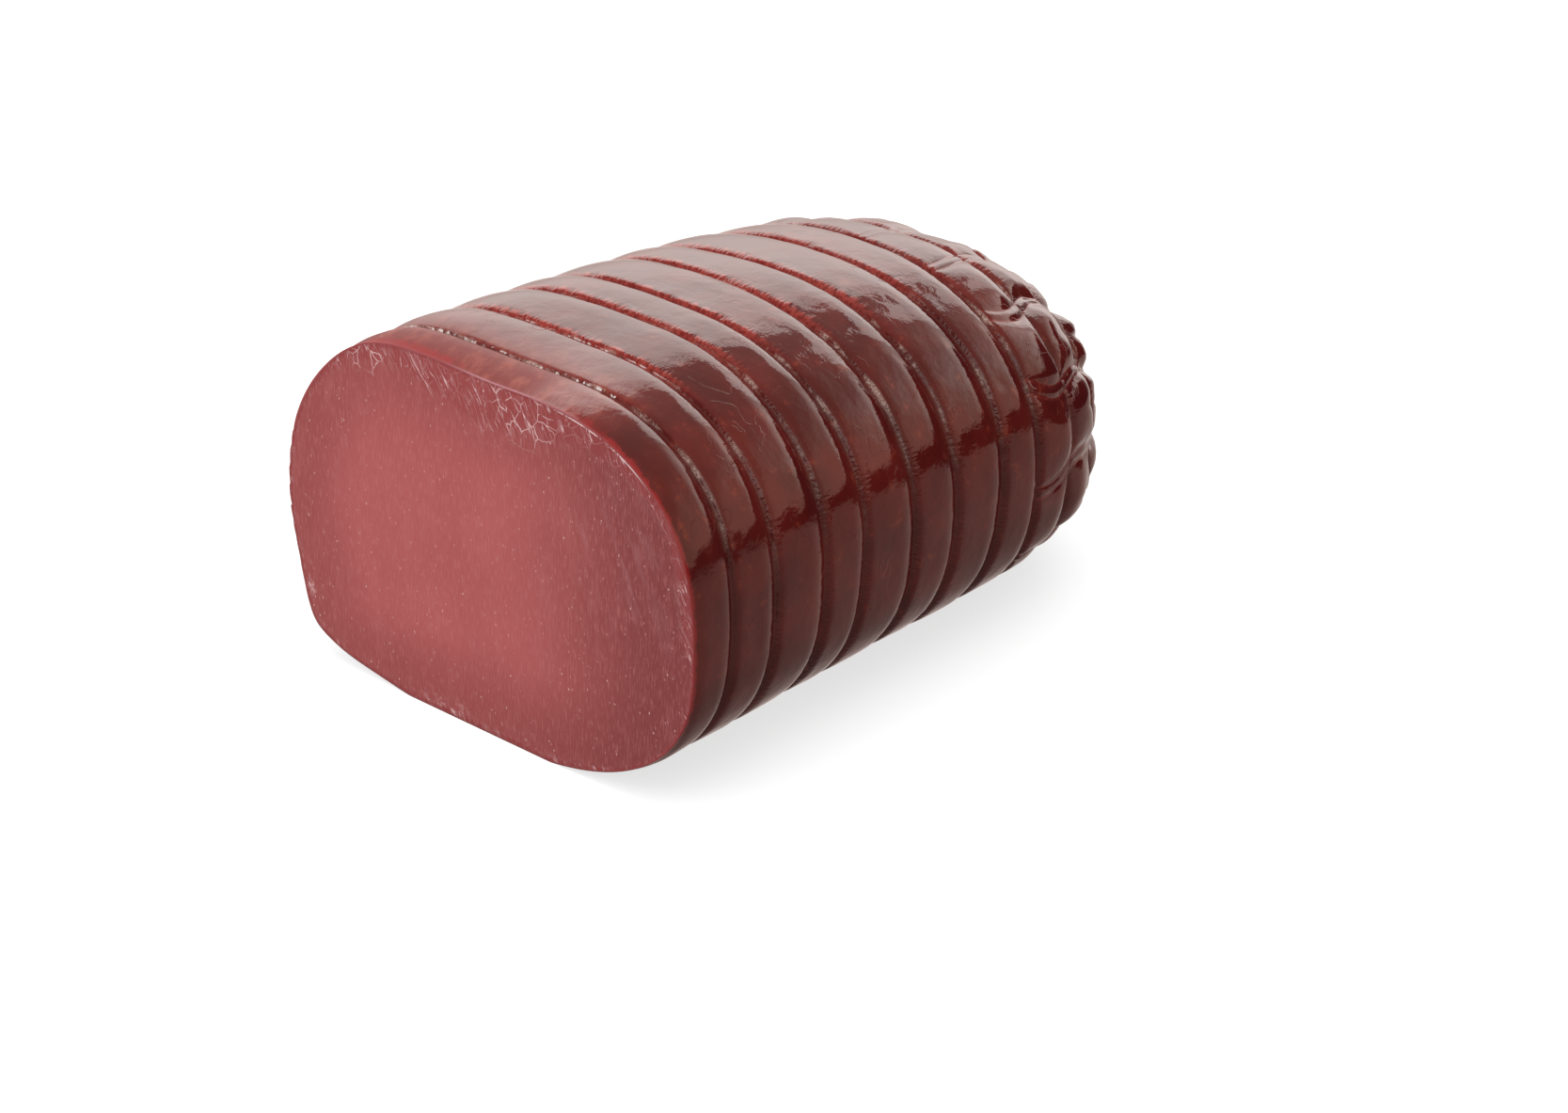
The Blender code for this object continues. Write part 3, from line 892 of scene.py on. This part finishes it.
def add_lamp(name, azimuth, elevation, spread, glow):
    """A panel that lights the log but isn't mirrored in it. Azimuth runs from +Y towards +X."""
    turn, lift = np.radians(azimuth), np.radians(elevation)
    away = Vector((np.sin(turn) * np.cos(lift), np.cos(turn) * np.cos(lift), np.sin(lift)))
    size = 2.0 * LAMP_DISTANCE * np.tan(np.radians(spread))
    data = bpy.data.lights.new(name, "AREA")
    data.size = size
    data.energy = glow * size * size * np.pi
    light = bpy.data.objects.new(name, data)
    bpy.context.scene.collection.objects.link(light)
    place = Vector(LIT_POINT) + away * LAMP_DISTANCE
    turned = away.to_track_quat("Z", "Y").to_matrix().to_4x4()
    light.matrix_world = Matrix.Translation(place) @ turned
    light.visible_camera = False
    light.visible_glossy = False


def room_light(n):
    """What the gloss mirrors, by direction: back softbox, warm walls, dark skyline, floor."""
    ways = n.add("ShaderNodeSeparateXYZ")
    n.link(n.add("ShaderNodeTexCoord").outputs["Generated"], ways.inputs["Vector"])
    azimuth = n.product(n.math("ARCTAN2", ways.outputs["X"], ways.outputs["Y"]), 180.0 / np.pi)
    elevation = n.product(n.math("ARCSINE", ways.outputs["Z"]), 180.0 / np.pi)

    warm = n.mix(n.span(elevation, 24.0, 46.0), ROOM["warm wall"], ROOM["high wall"])
    wall = n.mix(n.span(azimuth, -14.0, 8.0), ROOM["left wall"], warm)
    wall = n.mix(n.span(azimuth, 45.0, 95.0), wall, ROOM["right wall"])
    dark_left = n.product(n.span(azimuth, -84.0, -78.0, 1.0, 0.0), n.span(elevation, 14.0, 30.0))
    wall = n.mix(dark_left, wall, ROOM["dark left"])
    near_back = n.product(n.span(azimuth, -18.0, -6.0), n.span(azimuth, 12.0, 32.0, 1.0, 0.0),
                          n.span(elevation, 36.0, 54.0, 1.0, 0.0))
    back_colour = n.mix(n.span(elevation, 16.0, 42.0), ROOM["back"], ROOM["high back"])
    wall = n.mix(near_back, wall, back_colour)
    wall = n.mix(n.span(elevation, 48.0, 68.0), wall, ROOM["ceiling"])

    skyline = n.mix(n.span(azimuth, -18.0, -8.0), ROOM["left skyline"], ROOM["skyline"])
    skyline_top = n.math("SUBTRACT", n.span(azimuth, -26.0, -4.0, -8.0, 18.0),
                         n.span(azimuth, 8.0, 30.0, 0.0, 12.0))
    colour = n.mix(n.span(n.math("SUBTRACT", elevation, skyline_top), -1.5, 1.5), skyline, wall)

    floor = n.mix(n.span(azimuth, -66.0, -34.0), ROOM["left floor"], ROOM["floor"])
    floor = n.mix(n.span(azimuth, -24.0, -4.0), floor, ROOM["right floor"])
    floor = n.mix(n.span(azimuth, -105.0, -85.0, 1.0, 0.0), floor, ROOM["far left floor"])
    floor = n.mix(n.span(elevation, -50.0, -22.0, 1.0, 0.0), floor, ROOM["near floor"])
    skyline_foot = n.span(azimuth, -8.0, 56.0, -14.0, -0.5)
    colour = n.mix(n.span(n.math("SUBTRACT", elevation, skyline_foot), -1.5, 1.5), floor, colour)

    slope = n.math("ADD", elevation, n.product(azimuth, SOFTBOX_SLOPE))
    foot = n.math("ADD", elevation, n.span(azimuth, -42.0, -30.0, 0.0, 8.0))
    foot = n.math("SUBTRACT", foot, n.span(azimuth, -22.0, -15.0, 0.0, 22.0))
    above = n.math("SUBTRACT", slope, n.span(azimuth, -31.0, -18.5, 0.0, 19.5))
    softbox = n.product(n.span(above, SOFTBOX_TOP - 0.4, SOFTBOX_TOP + 0.4, 1.0, 0.0),
                        n.span(elevation, 42.0, 46.0, 1.0, 0.0), n.span(foot, -16.0, 20.0),
                        n.span(azimuth, -85.0, -80.0), n.span(azimuth, -18.0, -12.0, 1.0, 0.0))
    seam = n.span(n.math("ABSOLUTE", n.math("SUBTRACT", slope, SOFTBOX_SEAM)), 0.4, 0.9, 0.3, 1.0)
    colour = n.mix(n.product(softbox, seam), colour, ROOM["softbox"])
    front = n.product(n.span(azimuth, 128.0, 134.0), n.span(azimuth, 172.0, 178.0, 1.0, 0.0),
                      n.span(elevation, 12.0, 16.0), n.span(elevation, 46.0, 50.0, 1.0, 0.0))
    return n.mix(front, colour, ROOM["front"])


def add_studio():
    for name, values in LAMPS.items():
        add_lamp(name, *values)
    world = bpy.data.worlds.new("studio")
    bpy.context.scene.world = world
    n = Nodes(world)
    rays = n.add("ShaderNodeLightPath")
    colour = n.mix(rays.outputs["Is Glossy Ray"], FILL_LIGHT, room_light(n))
    colour = n.mix(rays.outputs["Is Camera Ray"], colour, WHITE)
    n.link(colour, n.tree.nodes["Background"].inputs["Color"])

    mesh = bpy.data.meshes.new("floor")
    corners = [(x * FLOOR_HALF, y * FLOOR_HALF, 0.0) for x, y in ((-1, -1), (1, -1), (1, 1), (-1, 1))]
    mesh.from_pydata(corners, [], [(0, 1, 2, 3)])
    mesh.materials.append(floor_material())
    floor = bpy.data.objects.new("floor", mesh)
    floor.visible_glossy = False
    bpy.context.scene.collection.objects.link(floor)


def add_piece(name, mesh, material):
    mesh.materials.append(material)
    piece = bpy.data.objects.new(name, mesh)
    bpy.context.scene.collection.objects.link(piece)
    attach(piece, BODY)
    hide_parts(NODE)


def main():
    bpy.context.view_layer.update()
    low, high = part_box(NODE)
    along, around = FORM_SAMPLES
    grid = np.meshgrid(np.linspace(0.0, PATH_END, along), np.linspace(0.0, 1.0, around))
    bare = bare_skin(*grid)
    middle = (bare[..., 0].min() + bare[..., 0].max()) / 2.0
    shift = np.array([(low[0] + high[0]) / 2.0 - middle, low[1], low[2]])

    skin_mesh, face_mesh = log_meshes(shift)
    add_piece("bresaola_skin", skin_mesh, skin_material())
    add_piece("bresaola_cut_face", face_mesh, face_material())

    add_camera(shift - np.array([0.0, 0.0, SETTLE]))
    add_studio()
    scene = bpy.context.scene
    scene.view_settings.view_transform = "Standard"


main()
